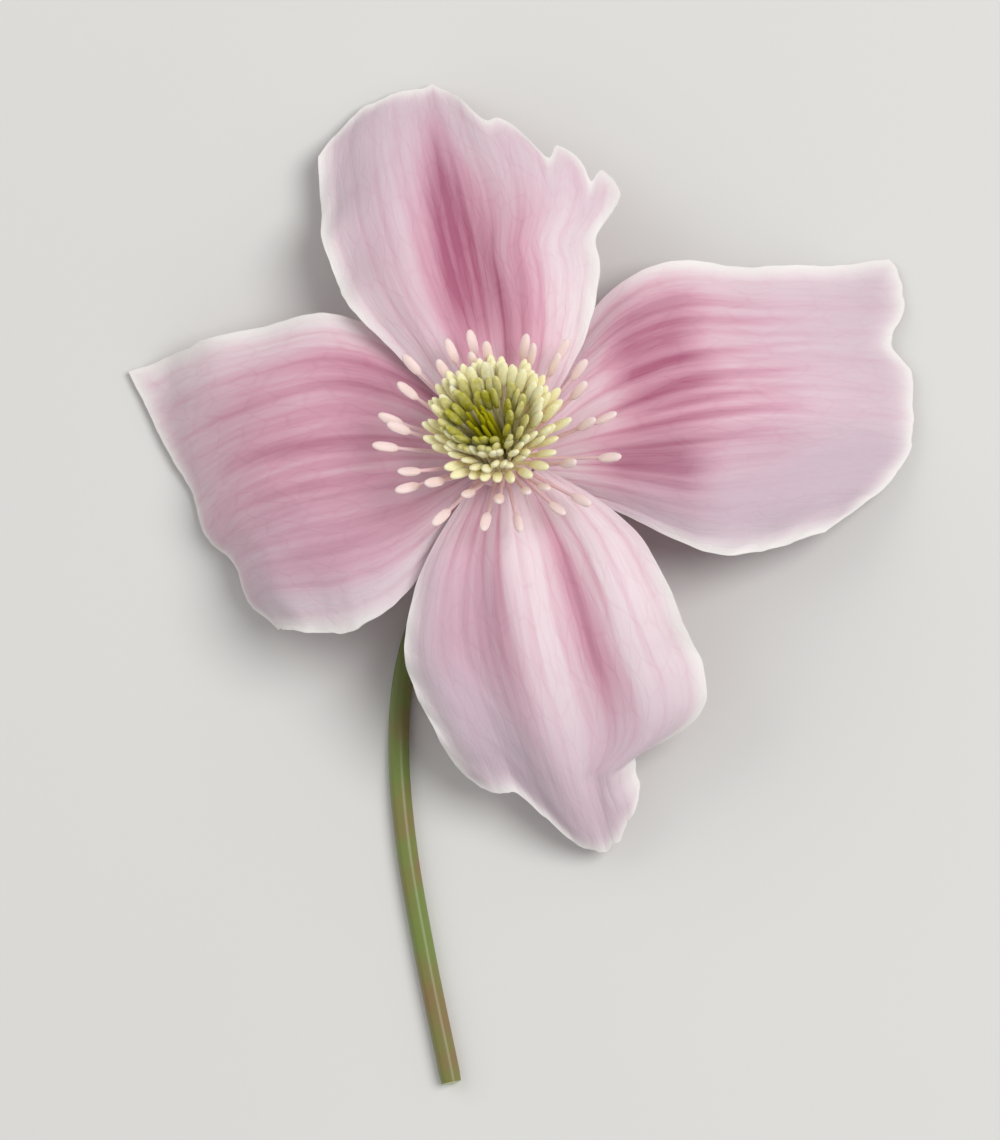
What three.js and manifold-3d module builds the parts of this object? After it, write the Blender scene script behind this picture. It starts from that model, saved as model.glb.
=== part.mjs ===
// A clematis flower of the montana kind, as picked: four pink sepals in two crossed pairs,
// a tuft of stamens round the green styles, and the thin stalk that it grew on.
// It lies face up on a surface. The stalk bends over under the bloom and lies along the surface,
// and three of the drooping sepals touch it with their tips.
// Millimetres, +Z up. The origin is on the surface, under the middle of the whole flower's box.
import * as THREE from 'three';
import { mergeVertices } from 'three/addons/utils/BufferGeometryUtils.js';
import Module from 'manifold-3d';

const wasm = await Module();
wasm.setup();

// ---- Driving dimensions (mm and degrees) ----

const BLOOM_AT = [0.471, 8.286]; // the bloom's axis, from the middle of the box
const BLOOM_HEIGHT = 9.6; // where the sepals meet, above the surface
const BLOOM_LEAN = 8; // the bloom's face leans this far towards +Y
const SEPAL_THICKNESS = 0.65;
const SEPAL_ACROSS = 18; // facets from edge to edge
const SEPAL_ALONG = 22; // facets from base to tip
const REST_TURN = 0.8; // below this height a sepal's middle bends to lie along the surface
const REST_MIDDLE = 0.22; // and comes down to this height, so that its underside is pressed flat
const PAIR_HEIGHT = { inner: 0.45, outer: -1.0 }; // the inner pair overlies the outer pair

// Each sepal runs from its base along a midrib. Lists are read evenly from base to tip.
// base: where it joins the receptacle; heading: its direction seen from above, turned from +X;
// pitch: its rise or droop; left, right: half widths, on the left and right of the way to the tip;
// drop: how much shorter the two margins are than the midrib, as a share of the length;
// round: how squarely the end turns into each margin; arch: how far the margins hang below the
// midrib; fold: height of the lengthwise pleats; folds: pleats from margin to margin;
// wave: height of the margin's ripples; ripples: their number along it, with a phase for each side.
// nicks: bites in the left and the right margin, and notches: bites in the end, each [where,
// depth, span].
const SEPALS = {
  sepal_top: {
    pair: 'inner', base: [-0.2, 1.7], length: 31.3,
    heading: [98, 102, 108, 106], pitch: [13, -2, -19, -41],
    left: [1.6, 6.2, 9.8, 10.7, 10.2, 8.4], right: [2.6, 7.4, 9.8, 12.8, 10.7, 9.0],
    drop: [0.13, 0.5], round: [4.2, 0.95], nicks: [[], [[0.42, 0.09, 0.05]]],
    notches: [[-0.30, 0.06, 0.08], [-0.55, 0.09, 0.06], [-0.78, 0.05, 0.05]],
    arch: [0, 0.7, 1.4, 1.0], fold: [-0.1, -0.55, -0.6, -0.35], folds: 2.2, foldShift: 0.05,
    wave: [0, 0.2, 0.7, 0.7], ripples: 3.6, phase: [0.2, 1.0],
  },
  sepal_right: {
    pair: 'outer', base: [1.7, 0.1], length: 29.8,
    heading: [16, 12, 5, 0], pitch: [8, -8, -26, -41],
    left: [1.8, 9.2, 12.4, 11.6, 11.6, 12.4], right: [1.8, 6.0, 9.9, 9.8, 8.4, 8.0],
    drop: [0.05, 0.25], round: [8, 2.5], nicks: [[], []], notches: [[0.5, 0.05, 0.15]],
    arch: [0.3, 1.4, 1.5, 1.0], fold: [0.15, 0.35, 0.3, 0.15], folds: 3, foldShift: 0,
    wave: [0, 0.15, 0.45, 0.4], ripples: 3, phase: [1.2, 0],
  },
  sepal_bottom: {
    pair: 'inner', base: [0.4, -1.6], length: 30.4,
    heading: [-82, -80, -78, -76], pitch: [10, -16, -36, -52],
    left: [3.0, 6.6, 8.9, 10.1, 10.7, 11.0, 11.0, 9.3, 4.9, 4.7, 4.2],
    right: [2.6, 7.5, 9.8, 8.8, 7.6, 6.6],
    drop: [0.14, 0.27], round: [2.2, 4], nicks: [[[0.78, 0.14, 0.02]], []],
    notches: [[-0.56, 0.18, 0.36]],
    arch: [0, 1.0, 1.8, 1.0], fold: [0.15, 0.6, 0.45, 0.2], folds: 2.6, foldShift: -0.1,
    wave: [0, 0.15, 0.5, 0.5], ripples: 3.2, phase: [0.5, 2.0],
  },
  sepal_left: {
    pair: 'outer', base: [-1.7, -0.1], length: 26.8,
    heading: [178, 184, 194, 209], pitch: [14, -2, -32, -72],
    left: [1.8, 9.4, 12.8, 12.8, 11.3, 9.9], right: [1.8, 8.2, 11.8, 12.2, 12.9, 14.2],
    drop: [0.1, 0.02], round: [6, 9], nicks: [[], []], notches: [],
    arch: [0.3, 1.2, 1.0, 0.5], fold: [0.15, 0.4, 0.3, 0.15], folds: 3, foldShift: 0,
    wave: [0, 0.15, 0.4, 0.3], ripples: 3, phase: [1.2, 0],
  },
};

// The receptacle is the stalk's swollen end. Its neck passes between the sepals' bases, and its
// two steps carry the rings that the stamens grow from.
const NECK_RADIUS = 1.32;
const STEP_RADIUS = 0.7;
const RECEPTACLE = [
  [0, -2.6], [0.8, -2.6], [1.0, -1.9], [NECK_RADIUS, -1.4], [NECK_RADIUS, 2.0],
  [1.2, 2.3], [STEP_RADIUS, 2.4], [STEP_RADIUS, 3.2], [0, 3.3],
];

// A whorl's threads stand in rings on a collar, which is [inner radius, outer radius, bottom, top].
// root: radius where a ring's threads start, all at rootHeight; reach and height: where they end,
// from the bloom's axis and its base; sideReach: how much further the ones that point left or
// right reach; bow: how far their middles bend outwards.
const OUTER_STAMENS = {
  collar: [1.62, 2.75, 1.5, 2.2], rootHeight: 1.9, sideReach: 2.0, bow: 0.5,
  rings: [
    { count: 14, root: 2.15, reach: 5.6, height: 6.2 },
    { count: 14, root: 2.5, reach: 7.2, height: 4.8 },
  ],
  filament: 0.2, anther: 0.43, antherLength: 2.0,
};
const INNER_STAMENS = {
  collar: [1.0, 2.05, 2.65, 3.25], rootHeight: 3.0, sideReach: 0, bow: 0.35,
  rings: [
    { count: 9, root: 1.2, reach: 1.8, height: 8.7 },
    { count: 15, root: 1.53, reach: 2.8, height: 8.6 },
    { count: 20, root: 1.86, reach: 3.9, height: 7.9 },
  ],
  filament: 0.155, anther: 0.42, antherLength: 1.9,
};
const STYLES = {
  head: [[0, 3.6], [0.8, 3.6], [0.8, 4.1], [0.5, 4.5], [0, 4.5]], rootHeight: 4.0, sideReach: 0,
  bow: 0,
  rings: [
    { count: 4, root: 0.2, reach: 0.25, height: 8.6 },
    { count: 8, root: 0.55, reach: 0.8, height: 8.3 },
  ],
  thickness: 0.2,
};
const SCATTER = { turn: 5, reach: 0.05, height: 0.04 }; // degrees, and shares of reach and height
const TUFT_LEAN = [0.02, 0.12]; // the tuft leans this much per mm of height, in X and Y
const THREAD_SIDES = 5;

// The stalk's centre line, from the receptacle down to its cut end, from the bloom's axis.
const STALK_RADIUS = 0.78;
const STALK_REST = 0.66; // height of the centre line where it lies, a little pressed flat
const STALK_PATH = [
  [-0.2, -0.3, 8.0], [-0.8, -1.3, 6.2], [-2.4, -3.3, 4.0], [-5.0, -6.6, 2.1], [-7.9, -10.6, 1.0],
  [-9.4, -15.2, STALK_REST], [-9.8, -21.0, STALK_REST], [-9.2, -28.0, STALK_REST],
  [-7.8, -36.0, STALK_REST], [-5.8, -45.5, STALK_REST],
];
const STALK_STEPS = 26;
const STALK_SIDES = 10;

const COLOURS = {
  sepal: 0xdcaec4, outerStamen: 0xf0d8d2, innerStamen: 0xd9cf62, style: 0x8c8a2c, stalk: 0x7f8a45,
};

// ---- Small helpers ----

const radians = THREE.MathUtils.degToRad;

/** Value of an even base-to-tip list at t from 0 to 1, on a smooth curve through its entries. */
function along(list, t) {
  const last = list.length - 1;
  const place = THREE.MathUtils.clamp(t, 0, 1) * last;
  const i = Math.min(Math.floor(place), last - 1);
  const before = i > 0 ? list[i - 1] : 2 * list[0] - list[1];
  const after = i + 2 <= last ? list[i + 2] : 2 * list[last] - list[last - 1];
  return catmullRom(place - i, before, list[i], list[i + 1], after);
}

function catmullRom(t, a, b, c, d) {
  const slope = c - a;
  const square = 2 * a - 5 * b + 4 * c - d;
  const cube = 3 * b - a - 3 * c + d;
  return 0.5 * (2 * b + slope * t + square * t * t + cube * t ** 3);
}

/** Seeded random numbers from 0 to 1, the same on each run. */
function randomFrom(seed) {
  let state = seed;
  return () => {
    state = (state * 1664525 + 1013904223) % 4294967296;
    return state / 4294967296;
  };
}

/** Moves a point from the bloom's own frame, with its axis upright, to its place. */
function place(point) {
  return point
    .clone()
    .applyAxisAngle(new THREE.Vector3(1, 0, 0), radians(-BLOOM_LEAN))
    .add(new THREE.Vector3(BLOOM_AT[0], BLOOM_AT[1], BLOOM_HEIGHT));
}

function geometryFrom(points, triangles) {
  const geometry = new THREE.BufferGeometry().setFromPoints(points);
  geometry.setIndex(triangles.flat());
  return geometry;
}

function toSolid(geometry) {
  const bare = geometry.clone();
  bare.deleteAttribute('normal');
  bare.deleteAttribute('uv');
  const merged = mergeVertices(bare, 1e-5);
  const vertProperties = new Float32Array(merged.attributes.position.array);
  const triVerts = new Uint32Array(merged.index.array);
  return new wasm.Manifold(new wasm.Mesh({ numProp: 3, vertProperties, triVerts }));
}

function toMesh(name, solid, colour, roughness) {
  const { vertProperties, triVerts } = solid.getMesh();
  const geometry = new THREE.BufferGeometry();
  geometry.setAttribute('position', new THREE.BufferAttribute(new Float32Array(vertProperties), 3));
  geometry.setIndex(new THREE.BufferAttribute(new Uint32Array(triVerts), 1));
  geometry.computeVertexNormals();
  const material = new THREE.MeshStandardMaterial({ color: colour, roughness, metalness: 0 });
  const mesh = new THREE.Mesh(geometry, material);
  mesh.name = name;
  return mesh;
}

/** Bends what would sink into the surface so that it lies along it. */
function layOnSurface(point) {
  const span = REST_TURN - REST_MIDDLE;
  const height = REST_MIDDLE + span * Math.exp((point.z - REST_TURN) / span);
  return point.z < REST_TURN ? point.setZ(height) : point;
}

/** Cuts off what would reach below the surface, which leaves a small flat foot there. */
function restOnSurface(solid) {
  const size = 200;
  const below = new THREE.BoxGeometry(size, size, size).translate(0, 0, -size / 2);
  return solid.subtract(toSolid(below));
}

// ---- Sepals ----

/** The midrib: heading and pitch add up step by step. Returns a function of t from 0 to 1. */
function midrib(sepal) {
  const steps = 120;
  const stride = sepal.length / steps;
  const points = [new THREE.Vector3(...sepal.base, PAIR_HEIGHT[sepal.pair])];
  for (let k = 0; k < steps; k += 1) {
    const forward = wayAt(sepal, (k + 0.5) / steps);
    points.push(points[k].clone().addScaledVector(forward, stride));
  }
  return (t) => {
    const at = THREE.MathUtils.clamp(t, 0, 1) * steps;
    const k = Math.min(Math.floor(at), steps - 1);
    return points[k].clone().lerp(points[k + 1], at - k);
  };
}

function wayAt(sepal, t) {
  const heading = radians(along(sepal.heading, t));
  const pitch = radians(along(sepal.pitch, t));
  const level = Math.cos(pitch);
  return new THREE.Vector3(
    level * Math.cos(heading), level * Math.sin(heading), Math.sin(pitch),
  );
}

/** A bell-shaped bite of a depth and span round a place. */
function bite(list, value) {
  return list.reduce(
    (sum, [where, depth, span]) => sum + depth * Math.exp(-(((value - where) / span) ** 2)), 0,
  );
}

/** A point of the sepal's middle surface: u from -1 at the right margin to 1 at the left one. */
function sepalPoint(sepal, rib, u, v) {
  const side = u > 0 ? 0 : 1;
  const out = Math.abs(u);
  const end = 1 - sepal.drop[side] * out ** sepal.round[side] - bite(sepal.notches, u);
  const t = v * end;
  const halfWidth = along(side === 0 ? sepal.left : sepal.right, t) * (1 - bite(sepal.nicks[side], t));
  const forward = wayAt(sepal, t);
  const heading = radians(along(sepal.heading, t));
  const sideways = new THREE.Vector3(-Math.sin(heading), Math.cos(heading), 0);
  const up = forward.clone().cross(sideways);
  const pleat = Math.cos(Math.PI * sepal.folds * (u - sepal.foldShift)) * (1 - out ** 4);
  const ripple = Math.sin(2 * Math.PI * sepal.ripples * t + sepal.phase[side]) * out ** 3;
  const height = along(sepal.fold, t) * pleat + along(sepal.wave, t) * ripple
    - along(sepal.arch, t) * u * u;
  return rib(t).addScaledVector(sideways, u * halfWidth).addScaledVector(up, height);
}

/** A blade of even thickness about the middle surface, with both faces split alike. */
function sepalBlade(sepal) {
  const rib = midrib(sepal);
  const pointAt = (u, v) => layOnSurface(place(sepalPoint(sepal, rib, u, v)));
  const small = 0.004;
  const faces = [[], []];
  for (let j = 0; j <= SEPAL_ALONG; j += 1) {
    for (let i = 0; i <= SEPAL_ACROSS; i += 1) {
      const u = (2 * i) / SEPAL_ACROSS - 1;
      const v = 1 - (1 - j / SEPAL_ALONG) ** 1.15;
      const middle = pointAt(u, v);
      const outward = Math.min(v + small, 1);
      const leftward = Math.min(u + small, 1);
      const forward = pointAt(u, outward).sub(pointAt(u, outward - small));
      const sideways = pointAt(leftward, v).sub(pointAt(leftward - small, v));
      const normal = forward.cross(sideways).normalize();
      faces[0].push(middle.clone().addScaledVector(normal, SEPAL_THICKNESS / 2));
      faces[1].push(middle.addScaledVector(normal, -SEPAL_THICKNESS / 2));
    }
  }
  return bladeFrom(faces, SEPAL_ALONG, SEPAL_ACROSS);
}

/** Closes two grids of points, the upper and the lower face, into one solid. */
function bladeFrom([upper, lower], rows, columns) {
  const at = (j, i) => j * (columns + 1) + i;
  const under = upper.length;
  const triangles = [];
  for (let j = 0; j < rows; j += 1) {
    for (let i = 0; i < columns; i += 1) {
      const corners = [at(j, i), at(j + 1, i), at(j + 1, i + 1), at(j, i + 1)];
      const [a, b, c, d] = corners;
      triangles.push([a, b, c], [a, c, d]);
      const [e, f, g, h] = corners.map((corner) => corner + under);
      triangles.push([e, g, f], [e, h, g]);
    }
  }
  const border = [];
  for (let i = 0; i < columns; i += 1) border.push(at(0, i));
  for (let j = 0; j < rows; j += 1) border.push(at(j, columns));
  for (let i = columns; i > 0; i -= 1) border.push(at(rows, i));
  for (let j = rows; j > 0; j -= 1) border.push(at(j, 0));
  border.forEach((a, k) => {
    const b = border[(k + 1) % border.length];
    triangles.push([a, b, b + under], [a, b + under, a + under]);
  });
  return geometryFrom([...upper, ...lower], triangles);
}

// ---- Threads: filaments, styles and the stalk ----

/** A closed tube round a curve, with a radius for each row of [share of length, radius]. */
function thread(curve, rows, sides) {
  const points = [];
  const triangles = [];
  const frames = curve.computeFrenetFrames(200);
  for (const [share, radius] of rows) {
    const centre = curve.getPointAt(share);
    const k = Math.round(share * 200);
    for (let i = 0; i < sides; i += 1) {
      const angle = (2 * Math.PI * i) / sides;
      points.push(
        centre
          .clone()
          .addScaledVector(frames.normals[k], radius * Math.cos(angle))
          .addScaledVector(frames.binormals[k], radius * Math.sin(angle)),
      );
    }
  }
  const last = (rows.length - 1) * sides;
  const start = points.push(curve.getPointAt(0)) - 1;
  const finish = points.push(curve.getPointAt(1)) - 1;
  for (let i = 0; i < sides; i += 1) {
    const next = (i + 1) % sides;
    triangles.push([start, next, i], [finish, last + i, last + next]);
    for (let row = 0; row < last; row += sides) {
      const [a, b] = [row + i, row + next];
      triangles.push([a, b, b + sides], [a, b + sides, a + sides]);
    }
  }
  return geometryFrom(points, triangles);
}

/** A ring round the bloom's axis that a whorl of stamens grows from. */
function collar([inner, outer, bottom, top]) {
  const profile = [[inner, bottom], [outer, bottom], [outer, top], [inner, top], [inner, bottom]];
  return lathe(profile, 20);
}

/** A turned shape about the bloom's axis, in its place. */
function lathe(profile, sides) {
  const outline = profile.map(([radius, height]) => new THREE.Vector2(radius, height));
  const geometry = new THREE.LatheGeometry(outline, sides).rotateX(Math.PI / 2);
  const position = geometry.attributes.position;
  for (let k = 0; k < position.count; k += 1) {
    const point = place(new THREE.Vector3().fromBufferAttribute(position, k));
    position.setXYZ(k, point.x, point.y, point.z);
  }
  return geometry;
}

/** The curves of a whorl's threads, each from its root on the collar to its tip. */
function whorlCurves(whorl, seed) {
  const random = randomFrom(seed);
  const scatter = (share) => share * (2 * random() - 1);
  return whorl.rings.flatMap((ring, ringIndex) => Array.from({ length: ring.count }, (_, k) => {
    const angle = radians((360 * (k + ringIndex / 2)) / ring.count + scatter(SCATTER.turn));
    const outward = new THREE.Vector3(Math.cos(angle), Math.sin(angle), 0);
    const sideReach = whorl.sideReach * Math.abs(Math.cos(angle)) ** 1.5;
    const reach = (ring.reach + sideReach) * (1 + scatter(SCATTER.reach));
    const height = ring.height * (1 + scatter(SCATTER.height));
    const root = outward.clone().multiplyScalar(ring.root).setZ(whorl.rootHeight);
    const tip = outward.clone().multiplyScalar(reach).setZ(height);
    tip.x += TUFT_LEAN[0] * height;
    tip.y += TUFT_LEAN[1] * height;
    const knee = root.clone().lerp(tip, 0.5).addScaledVector(outward, whorl.bow);
    return new THREE.QuadraticBezierCurve3(place(root), place(knee), place(tip));
  }));
}

/** A whorl of stamens, each a filament that ends in a plump anther, fused to their collar. */
function stamens(whorl, seed) {
  let solid = toSolid(collar(whorl.collar));
  for (const curve of whorlCurves(whorl, seed)) {
    const start = 1 - whorl.antherLength / curve.getLength();
    const onAnther = (share) => start + (1 - start) * share;
    const rows = [
      [0, whorl.filament], [start * 0.5, whorl.filament], [start, whorl.filament],
      [onAnther(0.2), whorl.anther * 0.85], [onAnther(0.55), whorl.anther],
      [onAnther(0.88), whorl.anther * 0.7], [1, whorl.anther * 0.25],
    ];
    solid = solid.add(toSolid(thread(curve, rows, THREAD_SIDES)));
  }
  return solid;
}

/** The head of seed vessels and the tuft of styles that stands on it. */
function styles(whorl, seed) {
  let solid = toSolid(lathe(whorl.head, 12));
  const rows = [
    [0, whorl.thickness], [0.5, whorl.thickness], [0.85, whorl.thickness * 0.8],
    [1, whorl.thickness * 0.4],
  ];
  for (const curve of whorlCurves(whorl, seed)) {
    solid = solid.add(toSolid(thread(curve, rows, THREAD_SIDES)));
  }
  return solid;
}

/** The stalk with the receptacle that it swells into, grown as one. */
function stalk() {
  const path = STALK_PATH.map(
    ([x, y, z]) => new THREE.Vector3(x + BLOOM_AT[0], y + BLOOM_AT[1], z),
  );
  const curve = new THREE.CatmullRomCurve3(path, false, 'centripetal');
  const rows = Array.from({ length: STALK_STEPS + 1 }, (_, k) => [k / STALK_STEPS, STALK_RADIUS]);
  const stem = toSolid(thread(curve, rows, STALK_SIDES));
  return stem.add(toSolid(lathe(RECEPTACLE, 16)));
}

// ---- The flower ----

const flower = new THREE.Group();
flower.name = 'clematis_flower';
for (const [name, sepal] of Object.entries(SEPALS)) {
  flower.add(toMesh(name, restOnSurface(toSolid(sepalBlade(sepal))), COLOURS.sepal, 0.6));
}
flower.add(toMesh('stamens_outer', stamens(OUTER_STAMENS, 11), COLOURS.outerStamen, 0.6));
flower.add(toMesh('stamens_inner', stamens(INNER_STAMENS, 5), COLOURS.innerStamen, 0.6));
flower.add(toMesh('styles', styles(STYLES, 3), COLOURS.style, 0.6));
flower.add(toMesh('stalk', restOnSurface(stalk()), COLOURS.stalk, 0.5));

export default flower;
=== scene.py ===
# A clematis bloom of the montana kind, as picked: four pink sepals, a tuft of pale and yellow
# stamens round olive green styles, and a thin green stalk, lying face up on a plain floor.
# Laid out as an add-on: sizes and colours are properties, and each group of pieces has its own
# operator in the 3D view's sidebar.
import math
import random

import bpy
from bpy.props import FloatProperty, FloatVectorProperty, IntProperty, PointerProperty
from mathutils import Matrix, Vector, noise


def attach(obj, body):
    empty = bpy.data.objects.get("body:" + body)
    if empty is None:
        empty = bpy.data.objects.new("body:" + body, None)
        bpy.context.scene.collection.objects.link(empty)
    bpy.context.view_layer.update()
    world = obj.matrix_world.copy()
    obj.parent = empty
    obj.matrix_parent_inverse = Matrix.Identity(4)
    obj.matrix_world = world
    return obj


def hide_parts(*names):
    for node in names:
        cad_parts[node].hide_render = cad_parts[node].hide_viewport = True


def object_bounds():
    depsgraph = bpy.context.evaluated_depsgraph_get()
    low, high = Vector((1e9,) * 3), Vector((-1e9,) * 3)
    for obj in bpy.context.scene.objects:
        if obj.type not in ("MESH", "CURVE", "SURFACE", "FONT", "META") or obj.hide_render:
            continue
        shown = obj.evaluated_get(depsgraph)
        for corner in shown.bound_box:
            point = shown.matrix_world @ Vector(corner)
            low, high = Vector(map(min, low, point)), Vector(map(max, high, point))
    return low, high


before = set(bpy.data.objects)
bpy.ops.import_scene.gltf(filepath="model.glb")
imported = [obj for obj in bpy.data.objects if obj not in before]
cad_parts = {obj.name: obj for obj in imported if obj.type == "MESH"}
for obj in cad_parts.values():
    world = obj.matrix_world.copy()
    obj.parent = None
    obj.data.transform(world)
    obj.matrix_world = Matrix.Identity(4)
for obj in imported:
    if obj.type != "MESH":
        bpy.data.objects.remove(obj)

bl_info = {
    "name": "Clematis Bloom",
    "version": (1, 0, 0),
    "blender": (4, 5, 0),
    "location": "3D View > Sidebar > Clematis",
    "description": "Models a picked clematis bloom with its stamens, styles and stalk",
    "category": "Object",
}

CAD_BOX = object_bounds()
MM = 0.001

# ------------------------------
# The shape and colour of each sepal, in mm and degrees. Lists are read evenly from base to tip.
# Left and right are as seen on the way from base to tip. Across a sepal, u runs from -1 at the
# right margin to 1 at the left one, and along it, v runs from 0 at the base to 1 at the tip.
# base, length: where the midrib starts, from the bloom's axis, and how long it is
# heading, pitch: the midrib's way, seen from above and from the side
# left, right: half widths
# drop, round: how much shorter the two margins are than the midrib, and how squarely they turn
# nicks, notches: bites in each side margin and in the end, as (where, depth, span)
# arch: how far the margins hang
# fold, folds, fold_shift: height, number and place of the lengthwise pleats
# wave, ripples, phase: height, number and starts of the ripples of the two margins
# flush: strength of the pink all over
# lilac and painted shade: strength of the greyish lilac, partly the tissue's own tint and partly
# painted shade, towards the tip, the right margin and the left margin
# streaks: deeper pink bands, as ((u, v) at the start, (u, v) at the end, half widths at both,
# strength), where a negative strength is a paler band. Some bands, marked below, are painted shade,
# and one is a painted highlight
# ------------------------------
SEPALS = {
    "sepal_top": {
        "pair": "inner", "base": (-0.2, 1.7), "length": 31.3,
        "heading": (98, 102, 108, 106), "pitch": (13, -2, -19, -41),
        "left": (1.6, 6.2, 9.8, 10.7, 10.2, 8.4), "right": (2.6, 7.4, 9.8, 12.8, 10.7, 9.0),
        "drop": (0.13, 0.5), "round": (4.2, 0.95), "nicks": ((), ((0.42, 0.09, 0.05),)),
        "notches": ((-0.30, 0.06, 0.08), (-0.55, 0.09, 0.06), (-0.78, 0.05, 0.05)),
        "arch": (0, 0.7, 1.4, 1.0), "fold": (-0.1, -0.55, -0.6, -0.35), "folds": 2.2,
        "fold_shift": 0.05, "wave": (0, 0.2, 0.7, 0.7), "ripples": 3.6, "phase": (0.2, 1.0),
        "flush": 0.16, "lilac_and_shade": (0.4, 0.0, 0.3),
        "streaks": (
            ((0.06, 0.24), (0.06, 0.83), (0.40, 0.12), 0.62),
            ((0.30, 0.12), (0.08, 0.82), (0.10, 0.07), 0.34),
            ((0.03, 0.22), (0.0, 0.62), (0.07, 0.05), 0.22),
            ((-0.22, 0.10), (-0.16, 0.52), (0.07, 0.05), 0.34),
            ((-0.44, 0.14), (-0.40, 0.70), (0.14, 0.12), 0.30),
            ((0.55, 0.10), (0.42, 0.60), (0.07, 0.07), -0.14),
            ((-0.80, 0.34), (-0.74, 0.80), (0.16, 0.18), -0.22),
        ),
    },
    "sepal_right": {
        "pair": "outer", "base": (1.7, 0.1), "length": 29.8,
        "heading": (16, 12, 5, 0), "pitch": (8, -8, -26, -41),
        "left": (1.8, 9.2, 12.4, 11.6, 11.6, 12.4), "right": (1.8, 6.0, 9.9, 9.8, 8.4, 8.0),
        "drop": (0.05, 0.25), "round": (8, 2.5), "nicks": ((), ()), "notches": ((0.5, 0.062, 0.15),),
        "arch": (0.3, 1.4, 1.5, 1.0), "fold": (0.15, 0.35, 0.3, 0.15), "folds": 3,
        "fold_shift": 0.0, "wave": (0, 0.15, 0.45, 0.4), "ripples": 3, "phase": (1.2, 0),
        "flush": 0.20, "lilac_and_shade": (0.6, 0.9, 0.1),
        "streaks": (
            ((0.45, 0.27), (0.42, 0.48), (0.44, 0.42), 0.52),
            # Painted shade: a broad weak mauve over the middle of the right half, which curves down into
            # shade
            ((-0.25, 0.48), (-0.25, 0.70), (0.55, 0.50), 0.13),
            ((-0.38, 0.18), (-0.43, 0.45), (0.30, 0.30), 0.80),
            ((0.15, 0.18), (0.30, 0.72), (0.05, 0.025), 0.32),
            ((-0.04, 0.18), (0.02, 0.66), (0.05, 0.025), 0.32),
            ((0.55, 0.22), (0.62, 0.74), (0.06, 0.025), 0.24),
            ((0.72, 0.24), (0.74, 0.62), (0.05, 0.03), 0.20),
            ((0.34, 0.24), (0.46, 0.76), (0.04, 0.02), 0.28),
            ((0.06, 0.30), (0.15, 0.70), (0.025, 0.02), 0.24),
            ((-0.20, 0.24), (-0.14, 0.62), (0.04, 0.025), 0.20),
        ),
    },
    "sepal_bottom": {
        "pair": "inner", "base": (0.4, -1.6), "length": 30.4,
        "heading": (-82, -80, -78, -76), "pitch": (10, -16, -36, -52),
        "left": (3.0, 6.6, 8.9, 10.1, 10.7, 11.1, 11.4, 10.2, 4.9, 4.7, 4.2),
        "right": (2.6, 7.5, 9.8, 8.8, 7.6, 6.6),
        "drop": (0.14, 0.27), "round": (2.2, 4), "nicks": (((0.78, 0.14, 0.02),), ()),
        "notches": ((-0.56, 0.18, 0.36),),
        "arch": (0, 1.0, 1.8, 1.0), "fold": (0.15, 0.6, 0.45, 0.2), "folds": 2.6, "fold_shift": -0.1,
        "wave": (0, 0.15, 0.5, 0.5), "ripples": 3.2, "phase": (0.5, 2.0),
        "flush": 0.20, "lilac_and_shade": (0.75, 0.75, 0.0),
        "streaks": (
            ((0.30, 0.12), (0.42, 0.66), (0.09, 0.12), 0.38),
            # Painted shade: a broad mauve band darkening the right half, which lies in shade
            ((-0.55, 0.05), (-0.50, 0.66), (0.26, 0.26), 0.30),
            ((-0.18, 0.05), (-0.24, 0.55), (0.04, 0.05), 0.22),
            # A paler band along the middle ridge: partly its whitish tissue and partly painted highlight
            ((0.06, 0.04), (0.08, 0.78), (0.17, 0.14), -0.24),
            ((0.62, 0.05), (0.72, 0.80), (0.12, 0.22), -0.28),
            ((0.50, 0.10), (0.56, 0.40), (0.03, 0.04), 0.20),
        ),
    },
    "sepal_left": {
        "pair": "outer", "base": (-1.7, -0.1), "length": 26.8,
        "heading": (178, 184, 194, 209), "pitch": (14, -2, -32, -72),
        "left": (1.8, 9.2, 12.1, 11.5, 10.0, 8.8), "right": (1.8, 8.2, 11.8, 12.2, 12.9, 14.2),
        "drop": (0.12, -0.005), "round": (3.2, 9), "nicks": ((), ()), "notches": ((0.42, 0.05, 0.27),),
        "arch": (0.3, 1.2, 1.0, 0.5), "fold": (0.15, 0.4, 0.3, 0.15), "folds": 3, "fold_shift": 0,
        "wave": (0, 0.15, 0.4, 0.3), "ripples": 3, "phase": (1.2, 0),
        "flush": 0.40, "lilac_and_shade": (0.2, 0.0, 0.5),
        "streaks": (
            ((-0.10, 0.12), (-0.20, 0.74), (0.07, 0.06), 0.30),
            # Painted shadow: a deeper band by the base on the right half, where the top sepal and stamens
            # shade it
            ((-0.66, 0.05), (-0.58, 0.42), (0.18, 0.14), 0.34),
            ((0.40, 0.12), (0.52, 0.66), (0.16, 0.14), 0.20),
            ((0.10, 0.15), (0.10, 0.70), (0.04, 0.04), 0.14),
            ((0.88, 0.05), (0.95, 0.95), (0.10, 0.24), -0.42),
            ((-0.90, 0.30), (-0.85, 0.95), (0.08, 0.30), -0.16),
        ),
    },
}
# How high each pair's midribs start, in mm from the place where the sepals meet
PAIR_HEIGHT = {"inner": 0.45, "outer": -1.0}
MIDRIB_STEPS = 120
# Over 1, this draws the rows of faces closer together towards the tip
TIP_CROWDING = 1.15

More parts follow.
